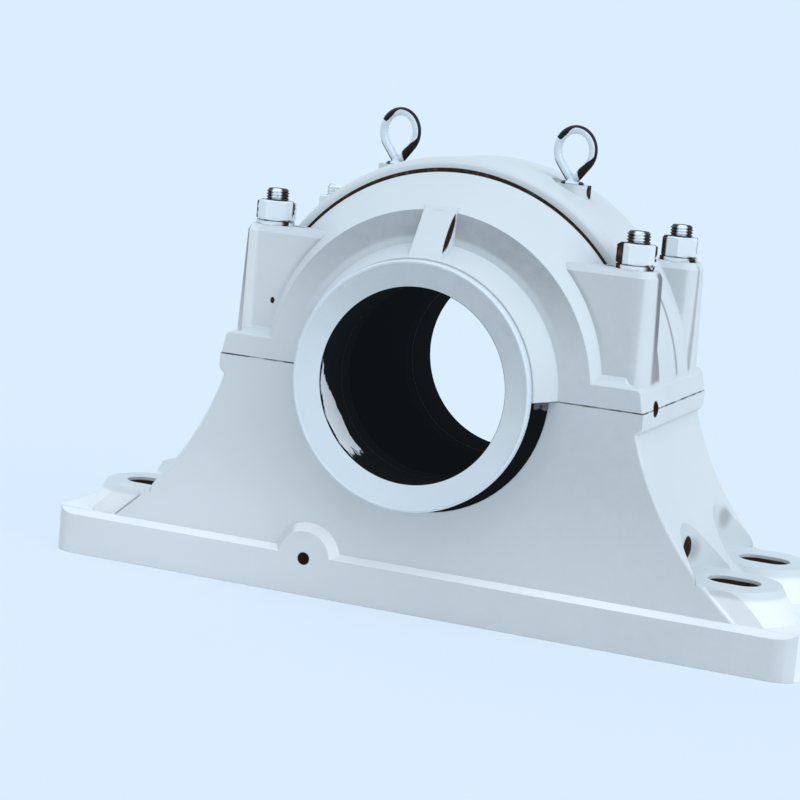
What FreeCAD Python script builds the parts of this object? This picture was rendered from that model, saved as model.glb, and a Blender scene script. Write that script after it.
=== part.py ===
"""Split pillow block housing for a 200 mm shaft.

Frame: +Z up, X along the foot, Y along the bore. The origin is on the ground,
under the middle of the bore. Front and rear seals are alike, so the front is at -Y.
"""
import FreeCAD, Part
import os

import Sketcher

os.makedirs("parts", exist_ok=True)
doc = FreeCAD.newDocument("pillow_block_housing")

# %% Driving dimensions, in millimetres and degrees
SIZES = [
    ("centre_height", 240, "ground to bore axis"),
    ("shaft_radius", 100, "bore of the labyrinth rings"),
    ("body_depth", 234, "front face to rear face of the castings"),
    ("split_length", 464, "length of the castings at the split"),
    ("foot_length", 830, "length of the foot"),
    ("foot_ledge", 11, "the foot stands this far out of the front face"),
    ("foot_edge", 42.5, "height of the foot at its front edge"),
    ("foot_crown", 47.5, "height of the foot where the pedestal starts"),
    ("foot_corner", 28, "corner radius of the foot"),
    ("bolt_span", 658, "foot bolts, distance along the foot"),
    ("bolt_spread", 128, "foot bolts, distance across the foot"),
    ("slot_length", 54, "foot slot, end to end"),
    ("slot_width", 36, "foot slot, side to side"),
    ("pad_height", 79, "top of the raised pad round a foot slot"),
    ("pad_radius", 48, "top radius of that pad"),
    ("pad_draft", 30, "slope of the pad's side, from upright"),
    ("spot_radius", 59, "spot face that clears the foot bolt's head in the flank"),
    ("rim_height", 18, "rim of the base under the split"),
    ("rim_overhang", 4.5, "how far that rim stands out of the flank"),
    ("flank_radius", 330, "hollow curve of the flank"),
    ("flank_start", 17, "slope of that curve under the rim, from upright"),
    ("flank_angle", 48, "its slope at the toe"),
    ("flank_round", 4, "rounded edge between flank and front face"),
    ("seat_radius", 200, "bearing seat"),
    ("seat_width", 118, "width of the bearing seat"),
    ("chamber_radius", 172, "oil chamber beside the bearing"),
    ("chamber_width", 23, "width of the oil chamber"),
    ("rib_width", 5, "fixed labyrinth rib of the castings"),
    ("race_width", 7, "groove in which the ring's fin turns"),
    ("race_radius", 133.6, "bottom of that groove, and bore of the base's mouth"),
    ("seal_gap", 0.8, "running gap between ring and castings"),
    ("neck_wall", 12.2, "wall of the ring's neck"),
    ("ring_reach", 46, "ring stands this far out of the front face"),
    ("ring_radius", 127.5, "outer radius of the ring's dish"),
    ("ring_rim", 9.5, "thickness of the dish at its rim"),
    ("ring_dish", 7.8, "depth of the dish"),
    ("ring_tail", 4, "ring reaches this far into the oil chamber"),
    ("oring_radius", 2.9, "section radius of the rubber ring"),
    ("oring_room", 0.8, "side room of the rubber ring in its groove"),
    ("flange_height", 24, "cap flange above the split"),
    ("flange_lean", 4.5, "cap flange's ends lean in by this at their top"),
    ("flange_round", 7, "rounding of the cap flange's ends"),
    ("flange_edge", 3, "rounding of its front and rear edges"),
    ("hub_radius", 142.7, "root of the drip hood over the ring"),
    ("hub_slope", 13.5, "the hood is smaller than its root by this at its front"),
    ("face_radius", 176, "outer radius of the cap's round face"),
    ("shoulder_radius", 213, "outer radius of the cap's sloping shoulder"),
    ("shoulder_depth", 47, "depth of that shoulder"),
    ("line_width", 3.6, "parting groove between shoulder and barrel"),
    ("line_depth", 10, "depth of that groove"),
    ("barrel_radius", 228, "outer radius of the cap over the bearing"),
    ("barrel_round", 11, "rounding of that barrel's ends"),
    ("feed_width", 36, "width of the sloping rib over the hood"),
    ("feed_step", 3, "front of that rib behind the hood's front"),
    ("feed_rise", 4, "that rib stands this far out of the shoulder's foot"),
    ("stud_span", 396, "cap studs, distance along the foot"),
    ("stud_spread", 159, "cap studs, distance across the foot"),
    ("stud_radius", 12, "cap stud, M24"),
    ("stud_play", 1, "radial play of the stud in the cap"),
    ("stud_grip", 42, "depth of the stud in the base"),
    ("stud_end", 12.5, "stud end above the nut"),
    ("stud_chamfer", 2.6, "chamfer of the stud's ends"),
    ("lug_height", 138, "stud lug of the cap above the split"),
    ("lug_end", 30, "end of the lug beyond the stud, at the split"),
    ("lug_half", 27.5, "half depth of the lug at the split"),
    ("lug_corner", 20, "corner radius of the lug at the split"),
    ("lug_draft", 1.9, "casting draft of the lug"),
    ("lug_bevel", 7, "height of the bevel round the lug's top"),
    ("lug_bevel_angle", 27, "slope of that bevel, from upright"),
    ("lug_foot", 8, "size of the cove between the lug and the flange"),
    ("nut_flats", 36, "nut, across flats"),
    ("nut_height", 21.5, "nut height"),
    ("nut_turn", 21, "turn of the nuts from the foot's direction"),
    ("washer_radius", 20, "washer, outside"),
    ("washer_height", 4, "washer thickness"),
    ("thread_room", 0.1, "radial room between a thread and its mate"),
    ("eye_span", 196, "distance between the eyebolts"),
    ("eye_seat", 210, "eyebolt seat above the bore axis"),
    ("eye_boss", 20, "radius of the eyebolt's boss and its spot face"),
    ("eye_ring", 21.5, "middle radius of the eye"),
    ("eye_bar", 4.5, "section radius of the eye"),
    ("eye_spread", 40, "half angle of the eye's legs"),
    ("eye_collar", 12, "radius of the eyebolt's collar"),
    ("eye_collar_height", 3, "height of that collar"),
    ("eye_shank", 6, "radius of the eyebolt's shank"),
    ("eye_shank_length", 20.5, "length of that shank"),
    ("eye_turn", 14, "turn of the eye from the front"),
    ("plug_radius", 6.6, "threaded plug"),
    ("plug_length", 12, "length of the plug's thread"),
    ("plug_flats", 17, "plug head, across flats"),
    ("plug_head", 9, "height of the plug's head"),
    ("plug_washer", 12, "outside radius of the plug's sealing washer"),
    ("plug_washer_height", 2, "thickness of that washer"),
    ("drain_offset", 112.8, "drain hole from the middle of the foot"),
    ("drain_height", 39, "drain hole above the ground"),
    ("drain_depth", 56, "depth of the drain hole"),
    ("drain_boss", 38.5, "root radius of the half round drain boss"),
    ("drain_boss_top", 29, "front radius of that boss"),
    ("pin_radius", 5, "dowel pin"),
    ("pin_length", 36, "length of the dowel pin"),
    ("pin_offset", 26, "dowel pins from the middle, across the foot"),
    ("pin_span", 432, "distance between the dowel pins"),
    ("notch_width", 15, "prising notch in the split"),
    ("notch_height", 17, "height of that notch"),
    ("notch_depth", 7, "depth of that notch"),
    ("notch_offset", 71, "notch from the middle, across the foot"),
    ("core_start", 158, "underside pocket, inner end"),
    ("core_end", 268, "underside pocket, outer end"),
    ("core_side", 84, "underside pocket, outer side"),
    ("core_web", 16, "web between the front and rear pockets"),
    ("core_height", 66, "height of the underside pockets"),
    ("core_draft", 4, "casting draft of the pockets"),
]

dims = doc.addObject("Spreadsheet::Sheet", "dims")
for row, (name, size, note) in enumerate(SIZES, start=1):
    dims.set("A%d" % row, name)
    dims.set("B%d" % row, str(size))
    dims.set("C%d" % row, note)
    dims.setAlias("B%d" % row, name)
doc.recompute()
SUB_PARTS = []


def size(text):
    """The value of an expression over the sheet's sizes, in millimetres."""
    return float(dims.evalExpression(text))


# %% Helpers for bodies, sketches and features
def new_body(name):
    body = doc.addObject("PartDesign::Body", name)
    body.Label = name
    SUB_PARTS.append(body)
    return body


def origin_item(body, role):
    return next(item for item in body.Origin.OriginFeatures if item.Role == role)


def new_sketch(body, name, role, across="0", along="0", lift="0"):
    """Sketch on an origin plane, its own origin moved by three expressions."""
    sketch = body.newObject("Sketcher::SketchObject", name)
    sketch.AttachmentSupport = [(origin_item(body, role), "")]
    sketch.MapMode = "FlatFace"
    for axis, text in zip("xyz", (across, along, lift)):
        if text != "0":
            sketch.setExpression(".AttachmentOffset.Base." + axis, text)
    return sketch


def bind(sketch, kind, text, *where):
    """A dimensional constraint that takes its value from an expression."""
    index = sketch.addConstraint(Sketcher.Constraint(kind, *where, size(text)))
    sketch.setExpression("Constraints[%d]" % index, text)


def pin_down(sketch, edge, end, across, along):
    """Hold a point of an edge at two expressions from the sketch's origin."""
    for kind, axis, text in (("DistanceX", -2, across), ("DistanceY", -1, along)):
        if text == "0":
            sketch.addConstraint(Sketcher.Constraint("PointOnObject", edge, end, axis))
        else:
            bind(sketch, kind, text, -1, 1, edge, end)


def arc_between(start, finish, radius, turn):
    """Arc of a radius from start to finish; turn 1 is anticlockwise, -1 clockwise."""
    if turn < 0:
        start, finish = finish, start
    chord = finish - start
    middle = (start + finish) * 0.5
    rise = max(radius ** 2 - (chord.Length / 2) ** 2, 0.0) ** 0.5
    side = FreeCAD.Vector(-chord.y, chord.x, 0).normalize()
    centre = middle + side * rise
    circle = Part.Circle(centre, FreeCAD.Vector(0, 0, 1), radius)
    first = circle.parameter(start)
    last = circle.parameter(finish)
    if last < first:
        last += circle.period()
    return Part.ArcOfCircle(circle, first, last)


def outline(sketch, corners):
    """Closed outline. A corner is (across, along), or (across, along, radius, turn)
    when an arc leaves it for the next corner. Radius None: half a circle, upright."""
    first = sketch.GeometryCount
    count = len(corners)
    places = [FreeCAD.Vector(size(c[0]), size(c[1]), 0) for c in corners]
    ends = []
    for i, corner in enumerate(corners):
        start, finish = places[i], places[(i + 1) % count]
        if len(corner) == 2:
            sketch.addGeometry(Part.LineSegment(start, finish), False)
            ends.append((1, 2))
        else:
            radius = size(corner[2]) if corner[2] else (finish - start).Length / 2
            sketch.addGeometry(arc_between(start, finish, radius, corner[3]), False)
            ends.append((1, 2) if corner[3] > 0 else (2, 1))
    for i in range(count):
        j = (i + 1) % count
        joint = Sketcher.Constraint("Coincident", first + i, ends[i][1], first + j, ends[j][0])
        sketch.addConstraint(joint)
    for i, corner in enumerate(corners):
        pin_down(sketch, first + i, ends[i][0], corner[0], corner[1])
        if len(corner) == 4 and corner[2]:
            bind(sketch, "Radius", corner[2], first + i)
        elif len(corner) == 4:
            bind(sketch, "DistanceX", corner[0], -1, 1, first + i, 3)


def rectangle(sketch, left, right, low, high):
    outline(sketch, [(left, low), (right, low), (right, high), (left, high)])


def hexagon(sketch, flats):
    """Hexagon about the sketch's origin, with two corners on its first axis."""
    half = "(%s / 2)" % flats
    reach = "(%s / sqrt(3))" % flats
    short = "(%s / sqrt(3) / 2)" % flats
    outline(sketch, [
        (reach, "0"), (short, half), ("-" + short, half),
        ("-" + reach, "0"), ("-" + short, "-" + half), (short, "-" + half),
    ])


def disc(sketch, across, along, radius):
    """Circle about a point given by two expressions."""
    centre = FreeCAD.Vector(size(across), size(along), 0)
    circle = Part.Circle(centre, FreeCAD.Vector(0, 0, 1), size(radius))
    edge = sketch.addGeometry(circle, False)
    pin_down(sketch, edge, 3, across, along)
    bind(sketch, "Radius", radius, edge)


def obround(sketch, across, along, length, width):
    """Slot outline along the sketch's first axis, about a point."""
    straight = "(%s - %s) / 2" % (length, width)
    half = "(%s) / 2" % width
    left, right = "%s - %s" % (across, straight), "%s + %s" % (across, straight)
    low, high = "%s - %s" % (along, half), "%s + %s" % (along, half)
    outline(sketch, [(left, low), (right, low, None, 1), (right, high), (left, high, None, 1)])


def extrude(body, kind, name, sketch, length, **settings):
    """Pad or pocket of a sketch; length None goes through everything."""
    feature = body.newObject("PartDesign::" + kind, name)
    feature.Profile = sketch
    feature.Refine = True
    if sketch.solve() != 0:
        raise RuntimeError("%s of %s can't be solved" % (sketch.Name, body.Label))
    taper = settings.pop("taper", None)
    if settings.pop("symmetric", False):
        feature.SideType = "Symmetric"
    feature.Reversed = settings.pop("reversed", False)
    if length is None:
        feature.Type = "ThroughAll"
    else:
        feature.setExpression("Length", length)
    if taper is not None:
        feature.setExpression("TaperAngle", taper)
    sketch.Visibility = False
    doc.recompute()
    return feature


def pad(body, name, sketch, length, **settings):
    return extrude(body, "Pad", name, sketch, length, **settings)


def pocket(body, name, sketch, length, **settings):
    """Pocket that must remove material."""
    before = body.Shape.Volume
    feature = extrude(body, "Pocket", name, sketch, length, **settings)
    if body.Shape.Volume > before - 1:
        raise RuntimeError("%s removes nothing from %s" % (name, body.Label))
    return feature


def turned(body, kind, name, sketch, angle=360, symmetric=False):
    """Revolution or groove about the sketch's first axis."""
    feature = body.newObject("PartDesign::" + kind, name)
    feature.Profile = sketch
    feature.ReferenceAxis = (sketch, ["H_Axis"])
    feature.Angle = angle
    feature.Midplane = symmetric
    feature.Refine = True
    doc.recompute()
    return feature


def mirrored(body, name, features, roles):
    """Copies of features over one or two origin planes."""
    multi = body.newObject("PartDesign::MultiTransform", name)
    multi.Originals = features
    steps = []
    for role in roles:
        step = body.newObject("PartDesign::Mirrored", name + "_" + role)
        step.MirrorPlane = (origin_item(body, role), [""])
        steps.append(step)
    multi.Transformations = steps
    multi.Refine = True
    body.Tip = multi
    doc.recompute()
    return multi


def edges_where(feature, test):
    """Names of the feature's edges whose middle point and box pass a test."""
    names = []
    for number, edge in enumerate(feature.Shape.Edges, start=1):
        middle = edge.valueAt((edge.FirstParameter + edge.LastParameter) / 2)
        if test(edge, middle):
            names.append("Edge%d" % number)
    return names


def dress(body, kind, name, feature, edges, amount):
    """Fillet or chamfer of named edges."""
    if not edges:
        raise RuntimeError("%s finds no edge" % name)
    dressed = body.newObject("PartDesign::" + kind, name)
    dressed.Base = (feature, edges)
    dressed.setExpression("Radius" if kind == "Fillet" else "Size", amount)
    doc.recompute()
    if not dressed.isValid():
        raise RuntimeError("%s of %s fails" % (name, body.Label))
    return dressed


def place(body, x="0", y="0", z="0", turn=None, axis=None):
    """Put a body at expressions in the housing's frame."""
    for letter, text in (("x", x), ("y", y), ("z", z)):
        if text != "0":
            body.setExpression(".Placement.Base." + letter, text)
    if turn is not None:
        body.Placement.Rotation = FreeCAD.Rotation(FreeCAD.Vector(*axis), size(turn))
    doc.recompute()


# %% Places that several sub-parts share, from the driving dimensions
HALF_DEPTH = "dims.body_depth / 2"
HALF_FOOT = "(dims.body_depth / 2 + dims.foot_ledge)"
HALF_SPLIT = "dims.split_length / 2"
SEAT_EDGE = "dims.seat_width / 2"
CHAMBER_END = "(dims.seat_width / 2 + dims.chamber_width)"
RACE_START = "(%s + dims.rib_width)" % CHAMBER_END
RACE_END = "(%s + dims.race_width)" % RACE_START
MOUTH_END = "(%s + dims.rib_width)" % RACE_END
LAND_RADIUS = "(dims.shaft_radius + dims.neck_wall + dims.seal_gap)"
FACE_PLANE = "(dims.body_depth / 2)"
SHOULDER_END = "(%s - dims.shoulder_depth)" % FACE_PLANE
RING_FRONT = "(dims.body_depth / 2 + dims.ring_reach)"
HOOD_FRONT = "(%s - dims.ring_rim - dims.seal_gap)" % RING_FRONT
BORE_END = "(%s + 10)" % RING_FRONT
STUD_X = "dims.stud_span / 2"
STUD_Y = "dims.stud_spread / 2"
LUG_TOP = "(dims.centre_height + dims.lug_height)"
NUT_SEAT = "(%s + dims.washer_height)" % LUG_TOP
STUD_FOOT = "(dims.centre_height - dims.stud_grip)"
STUD_LENGTH = "(dims.stud_grip + dims.lug_height + dims.washer_height + dims.nut_height + dims.stud_end)"
CORNERS = [("left", "-", "front", "-"), ("right", "", "front", "-"),
           ("left", "-", "rear", ""), ("right", "", "rear", "")]


def minus(text):
    return "-(%s)" % text


def bore_outline(sketch, mouth):
    """Half section of the bore: seat, oil chambers, labyrinth and mouth."""
    front = [(BORE_END, "0")]
    if mouth:
        front += [(BORE_END, "dims.race_radius"), (MOUTH_END, "dims.race_radius"), (MOUTH_END, LAND_RADIUS)]
    else:
        front += [(BORE_END, LAND_RADIUS)]
    front += [
        (RACE_END, LAND_RADIUS), (RACE_END, "dims.race_radius"),
        (RACE_START, "dims.race_radius"), (RACE_START, LAND_RADIUS),
        (CHAMBER_END, LAND_RADIUS), (CHAMBER_END, "dims.chamber_radius"),
        (SEAT_EDGE, "dims.chamber_radius"), (SEAT_EDGE, "dims.seat_radius"),
    ]
    rear = [(minus(along), radius) for along, radius in reversed(front)]
    outline(sketch, front + rear)


# %% Base casting: foot, flared pedestal and lower half of the bore
def build_base():
    body = new_body("base_casting")

    section = new_sketch(body, "foot_section", "YZ_Plane")
    outline(section, [
        (minus(HALF_FOOT), "0"), (HALF_FOOT, "0"), (HALF_FOOT, "dims.foot_edge"),
        (HALF_DEPTH, "dims.foot_crown"), (minus(HALF_DEPTH), "dims.foot_crown"),
        (minus(HALF_FOOT), "dims.foot_edge"),
    ])
    foot = pad(body, "foot", section, "dims.foot_length", symmetric=True)
    reach = size("dims.foot_length / 2")
    corners = edges_where(foot, lambda edge, middle: abs(abs(middle.x) - reach) < 0.01
                          and abs(abs(middle.y) - size(HALF_FOOT)) < 0.01
                          and abs(middle.z - size("dims.foot_edge / 2")) < 0.01)
    dress(body, "Fillet", "foot_corners", foot, corners, "dims.foot_corner")

    # raised pads round the foot slots, cut off just behind the front face
    root = "(dims.pad_radius + (dims.pad_height - dims.foot_edge) * tan(dims.pad_draft))"
    seat = new_sketch(body, "pad_circle", "XY_Plane", lift="dims.foot_edge")
    disc(seat, "dims.bolt_span / 2", "dims.bolt_spread / 2", root)
    boss = pad(body, "bolt_pad", seat, "dims.pad_height - dims.foot_edge", taper="-dims.pad_draft")
    mirrored(body, "bolt_pads", [boss], ("YZ_Plane", "XZ_Plane"))
    trim = new_sketch(body, "pad_trim_outline", "YZ_Plane")
    plane, beyond = "(dims.body_depth / 2 - dims.flank_round - 0.5)", "(dims.body_depth + dims.foot_ledge)"
    outline(trim, [(plane, "dims.foot_crown"), (HALF_DEPTH, "dims.foot_crown"), (HALF_FOOT, "dims.foot_edge"),
                   (beyond, "dims.foot_edge"), (beyond, "dims.centre_height"), (plane, "dims.centre_height")])
    cut = pocket(body, "pad_trim", trim, "dims.foot_length + 2", symmetric=True)
    mirrored(body, "pad_trims", [cut], ("XZ_Plane",))

    profile = new_sketch(body, "pedestal_profile", "XZ_Plane")
    wall = "(dims.split_length / 2 - dims.rim_overhang)"
    rim = "(dims.centre_height - dims.rim_height)"
    rim_root = "(%s - dims.rim_overhang)" % rim
    toe_x = "(%s + dims.flank_radius * (cos(dims.flank_start) - cos(dims.flank_angle)))" % wall
    toe_z = "(%s - dims.flank_radius * (sin(dims.flank_angle) - sin(dims.flank_start)))" % rim_root
    floor = "dims.foot_edge"
    floor_x = "(%s + (%s - %s) * tan(dims.flank_angle))" % (toe_x, toe_z, floor)
    right = [(floor_x, floor), (toe_x, toe_z, "dims.flank_radius", -1), (wall, rim_root),
             (HALF_SPLIT, rim), (HALF_SPLIT, "dims.centre_height")]
    left = [(minus(HALF_SPLIT), "dims.centre_height"), (minus(HALF_SPLIT), rim),
            (minus(wall), rim_root, "dims.flank_radius", -1), (minus(toe_x), toe_z),
            (minus(floor_x), floor)]
    outline(profile, right + left)
    pedestal = body.newObject("PartDesign::Pad", "pedestal")
    pedestal.Profile = profile
    pedestal.SideType = "Symmetric"
    pedestal.setExpression("Length", "dims.body_depth")
    pedestal.Refine = True
    doc.recompute()

    deep = size(HALF_DEPTH)
    low, high = size("dims.foot_crown"), size(rim)
    flanks = edges_where(pedestal, lambda edge, middle: abs(abs(middle.y) - deep) < 0.01
                         and low + 1 < middle.z < high - 1 and abs(middle.x) > size(wall) - 1)
    dress(body, "Fillet", "flank_edges", pedestal, flanks, "dims.flank_round")

    spot = new_sketch(body, "spot_circle", "XY_Plane", lift="dims.pad_height")
    disc(spot, "dims.bolt_span / 2", "dims.bolt_spread / 2", "dims.spot_radius")
    face = pocket(body, "spot_face", spot, "dims.centre_height / 2", reversed=True)
    mirrored(body, "spot_faces", [face], ("YZ_Plane", "XZ_Plane"))

    slots = new_sketch(body, "slot_outlines", "XY_Plane", lift="dims.pad_height")
    for sx in ("", "-"):
        for sy in ("", "-"):
            obround(slots, sx + "dims.bolt_span / 2", sy + "dims.bolt_spread / 2",
                    "dims.slot_length", "dims.slot_width")
    pocket(body, "foot_slots", slots, None)

    # half round bosses for the drain holes, one in front and one behind
    front = new_sketch(body, "drain_boss_circle", "XZ_Plane", lift="dims.body_depth / 2 - 2")
    disc(front, "-dims.drain_offset", "dims.drain_height", "dims.drain_boss")
    step = "(dims.foot_ledge + 2)"
    slope = "-atan((dims.drain_boss - dims.drain_boss_top) / %s)" % step
    drum = pad(body, "drain_boss", front, step, taper=slope)
    rear = new_sketch(body, "rear_boss_circle", "XZ_Plane", lift="-dims.body_depth / 2 + 2")
    disc(rear, "dims.drain_offset", "dims.drain_height", "dims.drain_boss")
    pad(body, "rear_drain_boss", rear, step, taper=slope, reversed=True)

    bore = new_sketch(body, "bore_section", "YZ_Plane", along="dims.centre_height")
    bore_outline(bore, mouth=True)
    turned(body, "Groove", "bore", bore)

    holes = new_sketch(body, "stud_hole_circles", "XY_Plane", lift="dims.centre_height")
    for _, sx, _, sy in CORNERS:
        disc(holes, sx + STUD_X, sy + STUD_Y, "dims.stud_radius + dims.thread_room")
    pocket(body, "stud_holes", holes, "dims.stud_grip + 3")

    pins = new_sketch(body, "pin_hole_circles", "XY_Plane", lift="dims.centre_height")
    for sign in ("-", ""):
        disc(pins, sign + "dims.pin_span / 2", sign + "dims.pin_offset", "dims.pin_radius + 0.02")
    pocket(body, "pin_holes", pins, "dims.pin_length / 2 + 1")

    drains = new_sketch(body, "drain_circle", "XZ_Plane", lift=HALF_FOOT)
    disc(drains, "-dims.drain_offset", "dims.drain_height", "dims.plug_radius + dims.thread_room")
    pocket(body, "drain_hole", drains, "dims.drain_depth")
    rear_drain = new_sketch(body, "rear_drain_circle", "XZ_Plane", lift=minus(HALF_FOOT))
    disc(rear_drain, "dims.drain_offset", "dims.drain_height", "dims.plug_radius + dims.thread_room")
    pocket(body, "rear_drain_hole", rear_drain, "dims.drain_depth", reversed=True)

    # the drain holes meet a drilling that comes down from the oil chamber
    drops = new_sketch(body, "drain_drop_circles", "XY_Plane", lift="dims.centre_height")
    drop_y = "(dims.seat_width / 2 + dims.chamber_width / 2 + 1)"
    disc(drops, "-dims.drain_offset", minus(drop_y), "dims.plug_radius - 3")
    disc(drops, "dims.drain_offset", drop_y, "dims.plug_radius - 3")
    pocket(body, "drain_drops", drops, "dims.centre_height - dims.drain_height")

    cores = new_sketch(body, "core_outline", "XY_Plane")
    rectangle(cores, "dims.core_start", "dims.core_end", "dims.core_web / 2", "dims.core_side")
    core = pocket(body, "core", cores, "dims.core_height", reversed=True, taper="-dims.core_draft")
    mirrored(body, "cores", [core], ("YZ_Plane", "XZ_Plane"))

    cut_notches(body)
    return body


def cut_notches(body):
    """Prising notches across the split, at two opposite corners."""
    notches = new_sketch(body, "notch_outlines", "YZ_Plane", along="dims.centre_height")
    width, height = "dims.notch_width / 2", "dims.notch_height / 2"
    centre = minus("dims.notch_offset")
    outline(notches, [(centre, minus(height)), (centre + " + " + width, "0"),
                      (centre, height), (centre + " - " + width, "0")])
    notches.setExpression(".AttachmentOffset.Base.z", HALF_SPLIT + " - dims.notch_depth")
    pocket(body, "notch", notches, "dims.notch_depth + 2", reversed=True)
    far = new_sketch(body, "far_notch_outlines", "YZ_Plane", along="dims.centre_height")
    centre = "dims.notch_offset"
    outline(far, [(centre, minus(height)), (centre + " + " + width, "0"),
                  (centre, height), (centre + " - " + width, "0")])
    far.setExpression(".AttachmentOffset.Base.z", minus(HALF_SPLIT) + " + dims.notch_depth")
    pocket(body, "far_notch", far, "dims.notch_depth + 2")


def lug_slice(body, name, low, height, slope, end, side, radius):
    """Sloping slice of a stud lug, from a height above the split: its end along the
    foot, its half depth round the stud and its corner radius, all at that height."""
    plan = new_sketch(body, name + "_plan", "XY_Plane", lift="(dims.centre_height + %s)" % low)
    inner = "dims.chamber_radius / 2"
    near, far = "(%s - %s)" % (STUD_Y, side), "(%s + %s)" % (STUD_Y, side)
    bend = "(%s - %s)" % (end, radius)
    outline(plan, [(inner, near), (bend, near, radius, 1), (end, "(%s + %s)" % (near, radius)),
                   (end, "(%s - %s)" % (far, radius), radius, 1), (bend, far), (inner, far)])
    return pad(body, name, plan, height, taper="-(%s)" % slope)


def lug_stage(body, name, low, height, slope, inset="0"):
    """Slice of the lug itself, smaller by the inset than the lug is at the split."""
    return lug_slice(body, name, low, height, slope, "(%s + dims.lug_end - %s)" % (STUD_X, inset),
                     "(dims.lug_half - %s)" % inset, "(dims.lug_corner - %s)" % inset)


def cove_stage(body, name, low, height, slope, spread):
    """Slice of the cove that spreads out from the lug's sides onto the flange. It
    runs out where the lug's corner starts."""
    side = "(dims.lug_half - dims.flange_height * tan(dims.lug_draft) + %s)" % spread
    end = "(%s + dims.lug_end - dims.lug_corner + %s)" % (STUD_X, spread)
    return lug_slice(body, name, low, height, slope, end, side, "(%s + 1)" % spread)


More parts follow.
